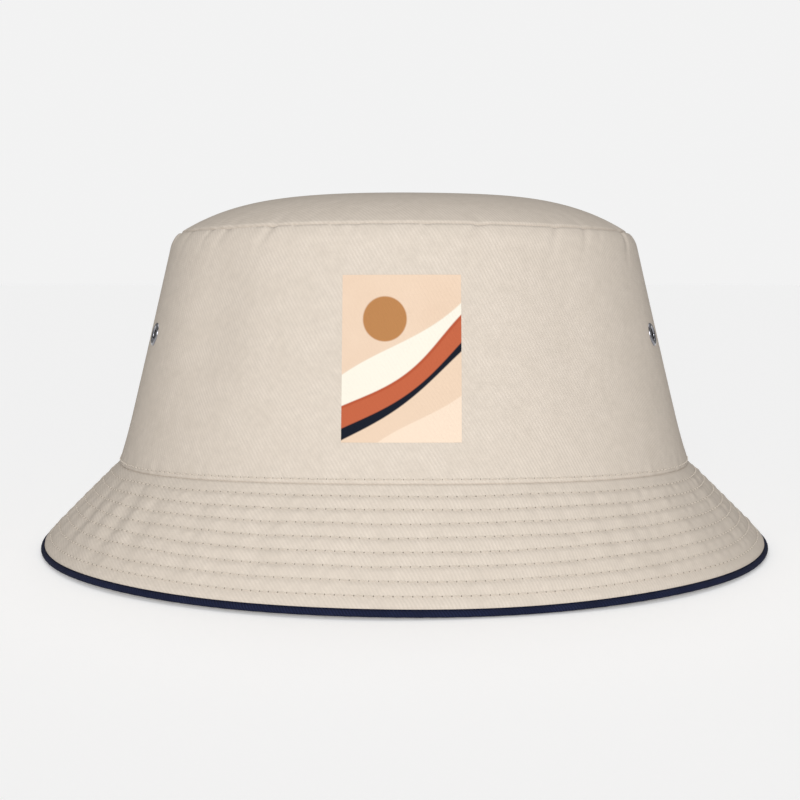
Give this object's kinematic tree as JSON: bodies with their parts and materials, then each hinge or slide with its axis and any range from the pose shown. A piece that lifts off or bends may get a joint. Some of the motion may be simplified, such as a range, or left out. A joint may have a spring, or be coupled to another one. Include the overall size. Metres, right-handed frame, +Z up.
{
  "type": "bucket hat",
  "caption": "Cotton twill bucket hat with a domed tip, leaning side panels, a row-stitched sloping brim with a dark piped edge, and paired vent eyelets.",
  "frame": {"origin": "centre of the ring that the brim's edge stands on, at the hat's base", "axes": "+Z up through the middle of the tip, the front of the hat faces -Y, +X is the hat's right-hand side as seen from the front"},
  "size_m": [0.2448, 0.2448, 0.1172],
  "materials": {
    "twill_beige": "diagonal cotton twill, matte",
    "twill_navy": "diagonal cotton twill, matte",
    "tape_navy": "herringbone seam tape, matte",
    "stiffening": "non-woven interlining, matte",
    "thread_beige": "spun polyester sewing thread, satin",
    "thread_navy": "spun polyester sewing thread, satin",
    "eyelet_metal": "nickel-plated, polished",
    "print_ink": "soft screen print on twill, matte",
    "label_white": "blank satin ribbon"
  },
  "bodies": {
    "hat": {"crown_tip": "twill_beige", "crown_side_front": "twill_beige", "crown_side_back": "twill_beige", "brim_upper_front": "twill_beige", "brim_upper_back": "twill_beige", "brim_lower_front": "twill_beige", "brim_lower_back": "twill_beige", "brim_stiffening": "stiffening", "brim_piping": "twill_navy", "sweatband": "twill_navy", "sweatband_stiffening": "stiffening", "top_seam_tape": "tape_navy", "side_seam_tape_left": "tape_navy", "side_seam_tape_right": "tape_navy", "eyelet_front_left": "eyelet_metal", "eyelet_front_right": "eyelet_metal", "eyelet_back_left": "eyelet_metal", "eyelet_back_right": "eyelet_metal", "washer_front_left": "eyelet_metal", "washer_front_right": "eyelet_metal", "washer_back_left": "eyelet_metal", "washer_back_right": "eyelet_metal", "brim_stitch_row_1": "thread_beige", "brim_stitch_row_2": "thread_beige", "brim_stitch_row_3": "thread_beige", "brim_stitch_row_4": "thread_beige", "brim_stitch_row_5": "thread_beige", "brim_stitch_row_6": "thread_beige", "brim_stitch_row_7": "thread_beige", "brim_stitch_row_8": "thread_beige", "crown_topstitch": "thread_beige", "sweatband_stitch": "thread_navy", "print_panel": "print_ink"},
    "size_label": {"size_label": "label_white"},
    "care_label": {"care_label": "label_white"}
  },
  "joints": [
    {"name": "size_label_flip", "type": "hinge", "parent": "hat", "child": "size_label", "pos_m": [0, 0.08224, 0.0616], "axis": [-1, 0, 0], "range_deg": [-10, 165]},
    {"name": "care_label_flip", "type": "hinge", "parent": "hat", "child": "care_label", "pos_m": [-0.08212, 0, 0.0616], "axis": [0, -1, 0], "range_deg": [-10, 165]}
  ]
}
